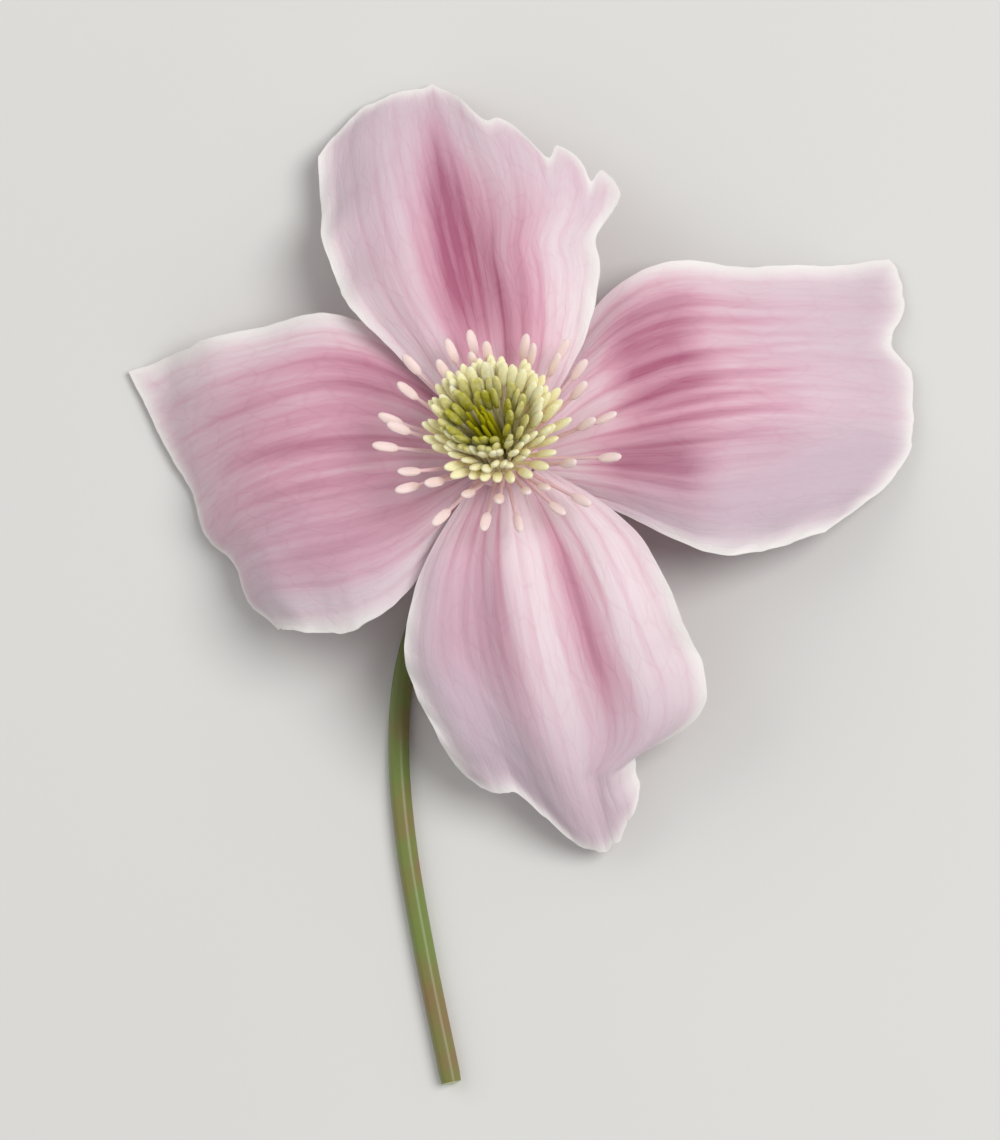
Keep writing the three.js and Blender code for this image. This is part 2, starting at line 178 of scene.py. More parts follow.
# Where effects on a sepal begin and where they are full: along it, across it, along a streak or,
# for its thickness, in mm from the margin
FADES = {
    "pale_tip": (0.55, 1.0), "pale_margin": (0.6, 1), "base_pink": (0.1, 0.35),
    "streak_start": (-0.3, 0.25), "streak_end": (0.65, 1.25),
    # The lilac comes in towards the tip, and the painted shade towards the margins and away from the base
    "tip_lilac_and_shade": (0.4, 0.95), "side_shade": (-0.1, 0.7), "side_shade_from_base": (0.05, 0.35),
    "swell": (0.05, 0.4), "margin": (0.15, 0.5), "thickness": (0, 2.5),
}
# Share of the lilac that the strongest pink hides, and width of the whitish rim in mm
LILAC_LOSS = 0.6
RIM_WIDTH = 1.0
# A sepal's attributes: how pink, how lilac (partly its own tint and partly painted shade), how
# whitish and how near to a vein each point is
SEPAL_MARKS = ("flush", "lilac_and_shade", "rim", "vein")

# Roughness of the outline, as (depth, times across the end, place in the noise) and as (depth,
# times along a side, distance in the noise from one side to the other)
END_ROUGHNESS = ((0.012, 5, 4.0), (0.006, 15, 9.0))
SIDE_ROUGHNESS = ((0.015, 9, 5.0), (0.008, 26, 1.0))
# Unevenness of the face, as layers of (strength, times across, times along, place in the noise)
CRINKLES = ((1.0, 4, 5, 0.5), (0.5, 9, 12, 2.5))
SWELLS = ((1.0, 1.9, 3.1, 5.5),)
FRILLS = ((1.0, 4, 9, 7.5),)
# Where the noise is read for the first sepal, and how far on for each next one
NOISE_START = 2
NOISE_STEP = 11.3

# The main veins, in shares of a sepal's half width: how far out the last ones lie, how wide one
# is, and how far it strays, with the distance in the noise between veins and times along it
VEIN_SPREAD = 0.88
VEIN_WIDTH = 0.022
VEIN_WANDER = (0.03, 3.7, 3.0)

# Below FLOOR_BEND a sepal bends to lie along the floor, and its middle surface stays above
# FLOOR_LIFT. Both are heights in mm.
FLOOR_BEND = 2.0
FLOOR_LIFT = 0.25

# ------------------------------
# The threads of the tuft, in mm and from the bloom's axis.
# seed: of the random scatter; collar: what they stand on, turned from (height, radius)
# root_height: where they stand on it; side_reach: how much further they reach to both sides
# bow: how far a thread's knee stands out
# rings: each is (count, root radius, reach of the tips, height of the tips, ripeness), and
# ripeness runs from green to pale
# ------------------------------
OUTER_STAMENS = {
    "seed": 11,
    "collar": (
        (0.2, 1.38), (0.7, 1.65), (1.2, 2.1), (1.6, 2.6), (1.8, 2.72), (2.0, 2.6), (2.12, 2.2),
        (2.16, 1.6),
    ),
    "root_height": 1.9, "side_reach": 2.0, "bow": 0.5,
    "rings": ((16, 1.95, 5.6, 6.2, 0.75), (16, 2.2, 7.2, 4.8, 1.0)),
}
INNER_STAMENS = {
    "seed": 5, "collar": ((2.1, 1.7), (2.4, 1.95), (2.8, 2.0), (3.05, 1.85), (3.15, 1.2)),
    "root_height": 3.0, "side_reach": 0.6, "bow": -0.45,
    "rings": (
        (14, 1.1, 1.8, 8.6, 0.1), (24, 1.35, 2.6, 8.35, 0.42), (28, 1.5, 3.3, 7.9, 1.05),
        (30, 1.7, 4.0, 7.25, 1.2), (26, 1.88, 4.75, 6.4, 1.3),
    ),
}
STYLES = {
    "seed": 3, "collar": ((3.0, 0.7), (3.3, 0.85), (4.2, 0.82), (4.45, 0.5)),
    "root_height": 4.0, "side_reach": 0.0, "bow": 0.0,
    "rings": ((4, 0.2, 0.25, 8.6, 0.3), (8, 0.55, 0.8, 8.3, 0.0)),
}
COLLAR_SIDES = 40
COLLAR_RIPENESS = 0.3
# Most that chance adds to or takes from a thread's turn round the axis, and from its reach and
# its height as shares of them
SCATTER = {"turn": math.radians(6), "reach": 0.07, "height": 0.045}
# Where a tip goes for each mm of its height: green threads lean to the left, ripe ones to the
# right, and both towards +Y, the ripe ones further
TUFT_LEAN = {"green": Vector((-0.06, 0.12, 1)), "ripe": Vector((0.05, 0.20, 1))}

# A stamen's outline as (share of its length, radius in mm): a filament up to ANTHER_START and a
# plump anther beyond it.
ANTHER_START = 0.6
STAMEN_ROWS = (
    (0.0, 0.20), (0.2, 0.17), (0.4, 0.16), (0.57, 0.14), (ANTHER_START, 0.16), (0.62, 0.24),
    (0.68, 0.32), (0.78, 0.35), (0.88, 0.33), (0.95, 0.26), (0.99, 0.14), (1.0, 0.05),
)
# The anther's two lobes, in shares of that radius: its waist between them and what each lobe
# adds to it. LOBE_FLATNESS is its depth as a share of what it would be if it were round.
LOBE_WAIST = 0.80
LOBE_SWELL = 0.32
LOBE_FLATNESS = 0.85
STYLE_ROWS = ((0.0, 0.20), (0.3, 0.20), (0.6, 0.19), (0.85, 0.17), (0.96, 0.12), (1.0, 0.05))
STYLE_SIDES = 8

# The receptacle's outline from the stalk up, as (height, radius) in mm. Its own pale skin starts
# BED_DEPTH below the place where the sepals meet.
RECEPTACLE_ROWS = (
    (-2.7, 0.70), (-2.2, 0.84), (-1.8, 1.05), (-1.3, 1.30), (-0.6, 1.36), (1.4, 1.34), (2.3, 1.2),
    (3.2, 0.7),
)
RECEPTACLE_SIDES = 32
BED_DEPTH = 1.9

# The stalk's centre line, in mm from the bloom's axis and the floor. It lies at STALK_REST, which
# is less than its radius, so that it has a narrow flat below, FLOOR_GAP above the floor.
STALK_REST = 0.66
FLOOR_GAP = 0.02
STALK_PATH = (
    (-0.2, -0.3, 8.0), (-0.8, -1.3, 6.2), (-2.4, -3.3, 4.0), (-5.0, -6.6, 2.1), (-7.9, -10.6, 1.0),
    (-9.4, -15.2, STALK_REST), (-9.8, -21.0, STALK_REST), (-9.2, -28.0, STALK_REST),
    (-7.8, -36.0, STALK_REST), (-5.8, -45.5, STALK_REST),
)
# In shares of the stalk's radius: the height of its ribs, the rim of its cut end, and the middle
# of the cut, which stands CUT_RISE mm proud
RIB_HEIGHT = 0.045
CUT_RIM = 0.93
CUT_MIDDLE = 0.6
CUT_RISE = 0.05
# On a stalk of unit length: where that middle is drawn before it is bent, and where the cut
# begins, short of 1 by more than the rounding of its last ring
CUT_DRAWN = 1.0005
CUT_FROM = 0.9999

# Each light's place in m, its size in m and its power in watts. They face the middle of the floor.
LIGHTS = {
    "key_light": ((0.52, 0.12, 0.74), 0.5, 5.2),
    "fill_light": ((-0.6, 0.4, 0.6), 0.8, 1.6),
}
# Width and height of the picture in pixels, and width of the camera's sensor in mm
PICTURE = (1000, 1140)
SENSOR_WIDTH = 36


def linear(code):
    """A linear RGBA colour from an sRGB hex value such as 0xE8C4D4."""
    channels = ((code >> shift & 255) / 255 for shift in (16, 8, 0))
    return (*(c / 12.92 if c <= 0.04045 else ((c + 0.055) / 1.055) ** 2.4 for c in channels), 1.0)


# ------------------------------
# Sizes and colours that a user would change
# ------------------------------
def length(name, description, default):
    return FloatProperty(
        name=name, description=description, default=default, unit="LENGTH", precision=5,
    )


def colour(name, description, code):
    return FloatVectorProperty(
        name=name, description=description, default=linear(code), size=4, subtype="COLOR", min=0, max=1,
    )


class ClematisSepalSettings(bpy.types.PropertyGroup):
    """Place of the bloom and make of its sepals."""

    axis: FloatVectorProperty(
        name="Bloom axis", description="Where the bloom's axis stands, from the middle of the box",
        default=(0.471 * MM, 8.286 * MM), size=2, unit="LENGTH", precision=5,
    )
    height: length("Height", "Height of the place where the sepals meet", 9.6 * MM)
    lean: FloatProperty(
        name="Lean", description="How far the face leans back towards +Y",
        default=math.radians(8), unit="ROTATION",
    )
    across: IntProperty(name="Across", description="Faces from margin to margin", default=110, min=8)
    along: IntProperty(name="Along", description="Faces from base to tip", default=140, min=8)
    thickness: length("Thickness", "Thickness of a sepal along its middle", 0.42 * MM)
    thin: FloatProperty(
        name="Thin margin", description="Thickness of the margin as a share of the middle's",
        default=0.45, min=0.1, max=1, subtype="FACTOR",
    )
    veins: IntProperty(name="Veins", description="Main veins from base to tip", default=11, min=2)
    vein_depth: length("Vein depth", "How deep a vein lies in the upper face", 0.05 * MM)
    crinkle: length("Crinkle", "Height of the small unevenness of the face", 0.16 * MM)
    swell: length("Swell", "Height of the broad soft swells of the face", 0.45 * MM)
    frill: length("Frill", "Height of the small uneven frill of the margins", 0.32 * MM)
    pale: colour("Pale tissue", "Pale lilac pink of the outer sepal", 0xEFDCE2)
    pink: colour("Pink tissue", "Clear pink of the middle of the sepal", 0xDBA5B8)
    deep: colour("Deep tissue", "Deep pink of the streaks by the base", 0xAE5F7C)
    # This lilac is partly the tissue's own tint and partly painted shade on the drooping margins
    lilac: colour("Lilac tissue", "Cool lilac of the outer part of the sepal", 0xCBB7C3)
    rim: colour("Rim", "Whitish margin", 0xFAF4F0)
    back: colour("Back", "Rosy back of the sepal", 0xD3A0B2)


class ClematisStamenSettings(bpy.types.PropertyGroup):
    """Make of the stamens and styles."""

    sides: IntProperty(name="Sides", description="Faces round a filament", default=10, min=3)
    anther_length: length("Anther length", "Length of an anther", 2.1 * MM)
    pale_filament: colour("Pale filament", "Pinkish white of the outer filaments", 0xF4D8DA)
    pale_anther: colour("Pale anther", "Pinkish white of the outer anthers", 0xFAE6E4)
    green_anther: colour("Green anther", "Olive of the innermost anthers", 0xA9A612)
    yellow_anther: colour("Yellow anther", "Light yellow of the ripe anthers", 0xFFF5C8)
    yellow_filament: colour("Yellow filament", "Pale yellow of the inner filaments", 0xFDF4D2)
    style: colour("Style", "Olive green of the styles", 0xA8A60C)


class ClematisStalkSettings(bpy.types.PropertyGroup):
    """Make of the stalk."""

    radius: length("Radius", "Radius of the stalk", 0.76 * MM)
    rings: IntProperty(name="Rings", description="Rings of faces along the stalk", default=110, min=10)
    sides: IntProperty(name="Sides", description="Faces round the stalk", default=24, min=6)
    ribs: IntProperty(name="Ribs", description="Low ribs round the stalk", default=6, min=0)
    green: colour("Green", "Green of the stalk's skin", 0x75853F)
    bronze: colour("Bronze", "Bronze tint where the light has struck it", 0x8E6A4A)
    pith: colour("Pith", "Pale flesh of the cut end", 0xD8DDB0)
    bed: colour("Bed", "Pale green of the receptacle", 0xC6C792)


class ClematisStageSettings(bpy.types.PropertyGroup):
    """The floor, the light and the camera."""

    floor: length("Floor", "Side of the floor", 1.6)
    floor_colour: colour("Floor colour", "Pale grey of the floor", 0xE2E1DE)
    sky: FloatProperty(
        name="Sky", description="Strength of the even white light from all round", default=0.38, min=0,
    )
    tilt_x: FloatProperty(
        name="Tilt to the right", description="Camera's tilt from the vertical towards +X",
        default=math.radians(10.9), unit="ROTATION",
    )
    tilt_y: FloatProperty(
        name="Tilt to the front", description="Camera's tilt from the vertical towards -Y",
        default=math.radians(5.0), unit="ROTATION",
    )
    distance: length("Distance", "From the camera to the middle of the flower", 0.6)
    margin: FloatProperty(
        name="Margin", description="Room left on each side of the flower, as a share of its size",
        default=0.05, min=0, max=0.5, subtype="FACTOR",
    )


# ------------------------------
# Working with Blender's tools
# ------------------------------
def deselect_all():
    if bpy.context.object and bpy.context.object.mode != "OBJECT":
        bpy.ops.object.mode_set(mode="OBJECT")
    bpy.ops.object.select_all(action="DESELECT")


def select_only(*pieces):
    deselect_all()
    for piece in pieces:
        piece.select_set(True)
    bpy.context.view_layer.objects.active = pieces[0]


def join(name, pieces):
    """Joins pieces that stand at the origin into one object there."""
    select_only(*pieces)
    bpy.ops.object.join()
    made = bpy.context.object
    made.name = name
    made.data.name = name
    return made


def copy_of(template):
    """A copy with a mesh of its own."""
    select_only(template)
    bpy.ops.object.duplicate(linked=False)
    return bpy.context.object


def remove(piece):
    select_only(piece)
    bpy.ops.object.delete()


def apply_modifier(piece, kind, **settings):
    select_only(piece)
    modifier = piece.modifiers.new(kind.title(), kind)
    for key, value in settings.items():
        setattr(modifier, key, value)
    bpy.ops.object.modifier_apply(modifier=modifier.name)


def turned(name, sides, rows):
    """A closed turned shape along +Z from rows of (height, radius), drawn up from a circle."""
    deselect_all()
    bpy.ops.mesh.primitive_circle_add(
        vertices=sides, radius=rows[0][1], fill_type="NGON", location=(0, 0, rows[0][0]),
    )
    made = bpy.context.object
    made.name = name
    bpy.ops.object.transform_apply(location=True)
    bpy.ops.object.mode_set(mode="EDIT")
    bpy.ops.mesh.select_all(action="SELECT")
    for (low, narrow), (high, wide) in zip(rows, rows[1:]):
        bpy.ops.mesh.extrude_region_move(TRANSFORM_OT_translate={"value": (0, 0, high - low)})
        bpy.ops.transform.resize(value=(wide / narrow, wide / narrow, 1), center_override=(0, 0, high))
    bpy.ops.mesh.select_all(action="SELECT")
    bpy.ops.mesh.normals_make_consistent(inside=False)
    bpy.ops.object.mode_set(mode="OBJECT")
    return made


def smooth(piece, degrees=50):
    select_only(piece)
    bpy.ops.object.shade_smooth_by_angle(angle=math.radians(degrees))


def finish_piece(piece, node, slot):
    """Puts a piece on the root body and hides the solid that it stands for. The slot is not used."""
    if not piece.data.vertices:
        raise RuntimeError(f"{piece.name} came out empty")
    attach(piece, "root")
    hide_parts(node)


# ------------------------------
# Geometry
# ------------------------------
def along(values, t):
    """Value of an even base-to-tip list at t from 0 to 1, on a smooth curve through its entries."""
    last = len(values) - 1
    x = min(max(t, 0.0), 1.0) * last
    i = min(int(x), last - 1)
    t = x - i
    b, c = values[i], values[i + 1]
    a = values[i - 1] if i > 0 else 2 * b - c
    d = values[i + 2] if i + 2 <= last else 2 * c - b
    square = 2 * a - 5 * b + 4 * c - d
    cube = 3 * b - a - 3 * c + d
    return 0.5 * (2 * b + (c - a) * t + square * t * t + cube * t**3)


def fade(effect, x):
    """How far an effect has come in at x, on a smooth step from 0 to 1."""
    low, high = FADES[effect]
    t = min(max((x - low) / (high - low), 0.0), 1.0)
    return t * t * (3 - 2 * t)


def bite(bites, x):
    return sum(depth * math.exp(-(((x - where) / span) ** 2)) for where, depth, span in bites)


def unevenness(layers, u, v, seed):
    """Height of layers of smooth noise at a place of a sepal."""
    return sum(
        strength * noise.noise((u * across, v * lengthwise, seed + shift))
        for strength, across, lengthwise, shift in layers
    )


def place(settings, point):
    """From the bloom's own frame in mm, with its axis upright, to its place in metres."""
    stood = Matrix.Rotation(-settings.lean, 3, "X") @ (Vector(point) * MM)
    return stood + Vector((*settings.axis, settings.height))


def place_all(piece, settings):
    """Moves a shape from the bloom's own frame to its place."""
    for vertex in piece.data.vertices:
        vertex.co = place(settings, vertex.co)


def way(sepal, t):
    """The midrib's direction at t, and the level direction to its left."""
    heading, pitch = (math.radians(along(sepal[key], t)) for key in ("heading", "pitch"))
    level = math.cos(pitch)
    forward = Vector((level * math.cos(heading), level * math.sin(heading), math.sin(pitch)))
    sideways = Vector((-math.sin(heading), math.cos(heading), 0))
    return forward, sideways


def midrib(sepal):
    """Points along the midrib, in mm."""
    stride = sepal["length"] / MIDRIB_STEPS
    points = [Vector((*sepal["base"], PAIR_HEIGHT[sepal["pair"]]))]
    for k in range(MIDRIB_STEPS):
        points.append(points[-1] + way(sepal, (k + 0.5) / MIDRIB_STEPS)[0] * stride)
    return points


def vein_at(settings, u, v, seed):
    """How much of a vein there is at a place, from 0 to 1. Veins fade by half towards the tip."""
    depth, apart, times = VEIN_WANDER
    best = 0.0
    for k in range(settings.veins):
        home = VEIN_SPREAD * (2 * k / (settings.veins - 1) - 1)
        wander = depth * noise.noise((k * apart, v * times, seed))
        best = max(best, math.exp(-(((u - home - wander) / VEIN_WIDTH) ** 2)))
    return best * (1 - 0.5 * v)


def sepal_point(sepal, settings, rib, u, v, seed):
    """A point of a sepal's middle surface, in mm, and its distance from the margin."""
    side = 0 if u > 0 else 1
    out = abs(u)
    end = 1 - sepal["drop"][side] * out ** sepal["round"][side] - bite(sepal["notches"], u)
    end += sum(depth * noise.noise((u * times, seed, shift)) for depth, times, shift in END_ROUGHNESS)
    t = v * end
    rough_side = sum(
        depth * noise.noise((t * times, side * apart, seed)) for depth, times, apart in SIDE_ROUGHNESS
    )
    half = along(sepal["left" if side == 0 else "right"], t)
    half *= (1 - bite(sepal["nicks"][side], t)) * (1 + rough_side)
    forward, sideways = way(sepal, t)
    up = forward.cross(sideways)
    # Pleats die away at the margins, and ripples grow towards them
    pleat = math.cos(math.pi * sepal["folds"] * (u - sepal["fold_shift"])) * (1 - out**4)
    ripple = math.sin(2 * math.pi * sepal["ripples"] * t + sepal["phase"][side]) * out**3
    high = along(sepal["fold"], t) * pleat + along(sepal["wave"], t) * ripple
    high -= along(sepal["arch"], t) * u * u
    high += settings.crinkle / MM * unevenness(CRINKLES, u, v, seed) * (0.3 + 0.7 * v)
    broad = unevenness(SWELLS, u, v, seed)
    high += settings.swell / MM * broad * fade("swell", v) * (1 - 0.5 * out**4)
    edge = max(out**6 * fade("margin", v), v**10)
    high += settings.frill / MM * edge * unevenness(FRILLS, u, v, seed)
    high -= settings.vein_depth / MM * vein_at(settings, u, v, seed)
    x = min(max(t, 0.0), 1.0) * MIDRIB_STEPS
    k = min(int(x), MIDRIB_STEPS - 1)
    at_rib = rib[k].lerp(rib[k + 1], x - k)
    gap = min((1 - out) * half, (1 - v) * end * sepal["length"])
    return at_rib + sideways * (u * half) + up * high, gap


def flush_at(sepal, u, v):
    """Strength of the pink at a place of a sepal: all over, and then in its streaks, some of which are
    painted shade and one a painted highlight.
    """
    pink = sepal["flush"] * (1 - 0.5 * fade("pale_tip", v)) * (1 - 0.5 * fade("pale_margin", abs(u)))
    pink *= 0.4 + 0.6 * fade("base_pink", v)
    for (u0, v0), (u1, v1), (wide0, wide1), strength in sepal["streaks"]:
        s = (v - v0) / (v1 - v0)
        held = min(max(s, 0.0), 1.0)
        centre = u0 + (u1 - u0) * held
        width = wide0 + (wide1 - wide0) * held
        shown = fade("streak_start", s) * (1 - fade("streak_end", s))
        pink += strength * shown * math.exp(-(((u - centre) / width) ** 2))
    return min(max(pink, 0.0), 1.0)


def lilac_and_shade_at(sepal, u, v):
    """Strength of the lilac at a place of a sepal, partly its own tint and partly painted shade."""
    tip, right, left = sepal["lilac_and_shade"]
    # Painted shade on the two margins, coming in away from the base
    side = right * fade("side_shade", -u) + left * fade("side_shade", u)
    lilac_and_shade = tip * fade("tip_lilac_and_shade", v) + side * fade("side_shade_from_base", v)
    return min(lilac_and_shade, 1.0)


def laid(point):
    """Bends what would sink into the floor so that it lies along it."""
    bend, lift = FLOOR_BEND * MM, FLOOR_LIFT * MM
    if point.z >= bend:
        return point
    low = lift + (bend - lift) * math.exp((point.z - bend) / (bend - lift))
    return Vector((point.x, point.y, low))


def whorl_curves(whorl):
    """Each thread's root, knee and tip, with its outward direction, its ripeness and its roll."""
    draw = random.Random(whorl["seed"])
    for ring_index, (count, root_radius, ring_reach, ring_height, ripe) in enumerate(whorl["rings"]):
        lean = TUFT_LEAN["green"].lerp(TUFT_LEAN["ripe"], min(ripe, 1.0))
        for k in range(count):
            turn = 2 * math.pi * (k + ring_index / 2) / count + SCATTER["turn"] * draw.uniform(-1, 1)
            outward = Vector((math.cos(turn), math.sin(turn), 0))
            reach = ring_reach + whorl["side_reach"] * abs(outward.x) ** 1.5
            reach *= 1 + SCATTER["reach"] * draw.uniform(-1, 1)
            height = ring_height * (1 + SCATTER["height"] * draw.uniform(-1, 1))
            root = outward * root_radius + Vector((0, 0, whorl["root_height"]))
            tip = outward * reach + lean * height
            knee = root.lerp(tip, 0.5) + outward * whorl["bow"]
            yield root, knee, tip, outward, ripe, draw.uniform(-0.5, 0.5)


def bend_thread(piece, settings, root, knee, tip, outward, roll, anther_length):
    """Bends an upright thread of unit length along a curve, in the bloom's frame, and places it.
    Where an anther's length in mm is given, the thread's end is drawn to that length."""
    span = (knee - root).length + (tip - knee).length
    start = 1 - anther_length / span if anther_length else ANTHER_START
    across = Vector((-outward.y, outward.x, 0))
    for vertex in piece.data.vertices:
        z = vertex.co.z
        if z < ANTHER_START:
            share = z / ANTHER_START * start
        else:
            share = start + (z - ANTHER_START) / (1 - ANTHER_START) * (1 - start)
        centre = root.lerp(knee, share).lerp(knee.lerp(tip, share), share)
        ahead = (knee - root).lerp(tip - knee, share).normalized()
        behind = ahead.cross(across).normalized()
        x = vertex.co.x * math.cos(roll) - vertex.co.y * math.sin(roll)
        y = vertex.co.x * math.sin(roll) + vertex.co.y * math.cos(roll)
        vertex.co = place(settings, centre + across * x + behind * y)


def stalk_line(settings, share):
    """A point of the stalk's centre line and its direction, in metres."""
    axes = [[point[axis] for point in STALK_PATH] for axis in range(3)]
    small = 0.004
    here, before, after = (
        Vector([along(axis, s) for axis in axes])
        for s in (share, max(share - small, 0), min(share + small, 1))
    )
    centre = here * MM + Vector((*settings.axis, 0))
    return centre, (after - before).normalized()


def set_attribute(piece, name, values):
    attribute = piece.data.attributes.new(name, "FLOAT", "POINT")
    attribute.data.foreach_set("value", values)


# ------------------------------
# Materials
# ------------------------------
def fill(tree, node, inputs):
    """Gives a node's inputs their values, or links them to a socket or a node's first output."""
    for key, value in inputs.items():
        if isinstance(value, bpy.types.Node):
            value = next(socket for socket in value.outputs if socket.enabled)
        if isinstance(value, bpy.types.NodeSocket):
            tree.links.new(value, node.inputs[key])
        else:
            node.inputs[key].default_value = value


def add_node(tree, kind, inputs, stops=(), **settings):
    """Adds a shader node, sets its properties and its ramp's stops, and fills its inputs."""
    made = tree.nodes.new("ShaderNode" + kind)
    for key, value in settings.items():
        setattr(made, key, value)
    for k, (spot, shade) in enumerate(stops):
        elements = made.color_ramp.elements
        element = elements[k] if k < len(elements) else elements.new(spot)
        element.position = spot
        element.color = shade
    fill(tree, made, inputs)
    return made


def new_material(name):
    """A material with only a Principled shader, and its tree and shader."""
    material = bpy.data.materials.new(name)
    material.use_nodes = True
    tree = material.node_tree
    tree.nodes.clear()
    shader = add_node(tree, "BsdfPrincipled", {})
    add_node(tree, "OutputMaterial", {"Surface": shader})
    return material, tree, shader


# The part of its range that smooth noise mostly keeps to
NOISE_RANGE = {"From Min": 0.3, "From Max": 0.7}
# Width and length of a usual sepal in mm, which its UV map covers
SEPAL_SPAN = (21.6, 30.6)
# The floor's second grey, as a linear colour
BOARD_GREY = (0.6, 0.6, 0.6, 1.0)


def cells(across, lengthwise):
    """Scale of a pattern on a sepal's UV map, from the size of its cells in mm."""
    return (SEPAL_SPAN[0] / across, SEPAL_SPAN[1] / lengthwise, 1)


def petal_tissue(name, settings, back):
    """Sepal tissue: thin, silky and matt, with light passing through. Its attributes say where it is
    pink, where it is lilac, partly its own tint and partly painted shade, and where it is whitish;
    streaks and veins run from base to tip."""
    plain, pink_from, whiteness = (settings.back, 0.6, 0.4) if back else (settings.pale, 0.42, 0.88)
    material, tree, shader = new_material(name)
    uv = add_node(tree, "UVMap", {}, uv_map="UVMap")
    flush, lilac_and_shade, rim, vein = (
        add_node(tree, "Attribute", {}, attribute_name=mark).outputs["Fac"] for mark in SEPAL_MARKS
    )
    # Soft streaks of colour, about 0.8 mm apart and 18 mm long
    lanes = add_node(tree, "Mapping", {"Vector": uv, "Scale": cells(0.8, 18)})
    streaks = add_node(tree, "TexNoise", {"Vector": lanes, "Scale": 1.0, "Detail": 3.0})
    # Finer threads, about 0.3 mm apart and 8 mm long
    lanes = add_node(tree, "Mapping", {"Vector": uv, "Scale": cells(0.288, 7.65), "Location": (3, 7, 0)})
    threads = add_node(tree, "TexNoise", {"Vector": lanes, "Scale": 1.0, "Detail": 2.0})
    # The net of small veins: cells about 0.9 mm wide and 3 mm long
    lanes = add_node(tree, "Mapping", {"Vector": uv, "Scale": cells(0.9, 3.06)})
    net = add_node(tree, "TexVoronoi", {"Vector": lanes, "Scale": 1.0}, feature="DISTANCE_TO_EDGE")
    net_line = add_node(
        tree, "MapRange", {"Value": net, "From Max": 0.09, "To Min": 1.0, "To Max": 0.0},
    )
    # Strength of the pink: the flush, broken by the streaks, and deeper along threads and veins
    contrast = add_node(
        tree, "MapRange", {"Value": streaks, **NOISE_RANGE, "To Min": 0.72, "To Max": 1.18},
    )
    pink = add_node(tree, "Math", {0: flush, 1: contrast}, operation="MULTIPLY")
    fine = add_node(tree, "Math", {0: threads, 1: -0.5}, operation="ADD")
    for detail, share in ((fine, 0.26), (vein, 0.16), (net_line, 0.05)):
        pink = add_node(tree, "Math", {0: detail, 1: share, 2: pink}, operation="MULTIPLY_ADD")
    tissue = add_node(
        tree, "ValToRGB", {"Fac": pink},
        stops=((0.0, plain), (pink_from, settings.pink), (1.0, settings.deep)),
    )
    # Lilac laid over the tissue: partly its own tint, partly painted shade
    lilac_and_shade_mix = add_node(
        tree, "Mix", {"Factor": lilac_and_shade, "A": tissue, "B": settings.lilac}, data_type="RGBA",
    )
    white = add_node(tree, "Math", {0: rim, 1: whiteness}, operation="MULTIPLY")
    skin = add_node(tree, "Mix", {"Factor": white, "A": lilac_and_shade_mix, "B": settings.rim}, data_type="RGBA")
    # Relief: the threads stand up and the net lies in
    relief = add_node(tree, "Math", {0: net_line, 1: -0.6, 2: threads}, operation="MULTIPLY_ADD")
    bump = add_node(tree, "Bump", {"Height": relief, "Strength": 0.35, "Distance": 0.05 * MM})
    fill(tree, shader, {
        "Base Color": skin, "Normal": bump, "Roughness": 0.6, "IOR": 1.4,
        "Specular IOR Level": 0.3, "Subsurface Weight": 0.3,
        "Subsurface Radius": (1.0, 0.6, 0.75), "Subsurface Scale": 0.6 * MM,
        "Sheen Weight": 0.15, "Sheen Roughness": 0.4,
    })
    return material


def waxy_tissue(name, base, tint, mottle, grain):
    """Filament, style, cream anther, pith and receptacle tissue: waxy and a little see-through,
    mottled between two colours, with a grain in its relief, both of a size in mm."""
    material, tree, shader = new_material(name)
    spot = add_node(tree, "TexCoord", {}).outputs["Object"]
    mottled = add_node(tree, "TexNoise", {"Vector": spot, "Scale": 1 / (mottle * MM), "Detail": 3.0})
    skin = add_node(tree, "Mix", {"Factor": mottled, "A": base, "B": linear(tint)}, data_type="RGBA")
    fine = add_node(tree, "TexNoise", {"Vector": spot, "Scale": 1 / (grain * MM), "Detail": 1.0})
    bump = add_node(tree, "Bump", {"Height": fine, "Strength": 0.4, "Distance": 0.03 * MM})
    fill(tree, shader, {
        "Base Color": skin, "Normal": bump, "Roughness": 0.5, "IOR": 1.4,
        "Subsurface Weight": 0.25, "Subsurface Radius": (1.0, 0.8, 0.5),
        "Subsurface Scale": 0.4 * MM,
    })
    return material


def pollen_tissue(name, settings):
    """Anthers from green to ripe yellow by the ripe attribute, dusted with pollen grains that
    are drawn about 0.1 mm wide so that they show."""
    material, tree, shader = new_material(name)
    spot = add_node(tree, "TexCoord", {}).outputs["Object"]
    ripe = add_node(tree, "Attribute", {}, attribute_name="ripe").outputs["Fac"]
    grains = add_node(tree, "TexVoronoi", {"Vector": spot, "Scale": 1 / (0.1 * MM)})
    mottled = add_node(tree, "TexNoise", {"Vector": spot, "Scale": 1 / (0.6 * MM), "Detail": 2.0})
    wander = add_node(
        tree, "MapRange", {"Value": mottled, **NOISE_RANGE, "To Min": -0.2, "To Max": 0.2},
    )
    tone = add_node(tree, "Math", {0: ripe, 1: wander}, operation="ADD")
    skin = add_node(
        tree, "ValToRGB", {"Fac": tone},
        stops=((0.0, settings.green_anther), (1.0, settings.yellow_anther)),
    )
    bump = add_node(tree, "Bump", {"Height": grains, "Strength": 0.5, "Distance": 0.04 * MM})
    fill(tree, shader, {
        "Base Color": skin, "Normal": bump, "Roughness": 0.75,
        "Subsurface Weight": 0.6, "Subsurface Radius": (1.0, 0.9, 0.5),
        "Subsurface Scale": 0.5 * MM,
    })
    return material


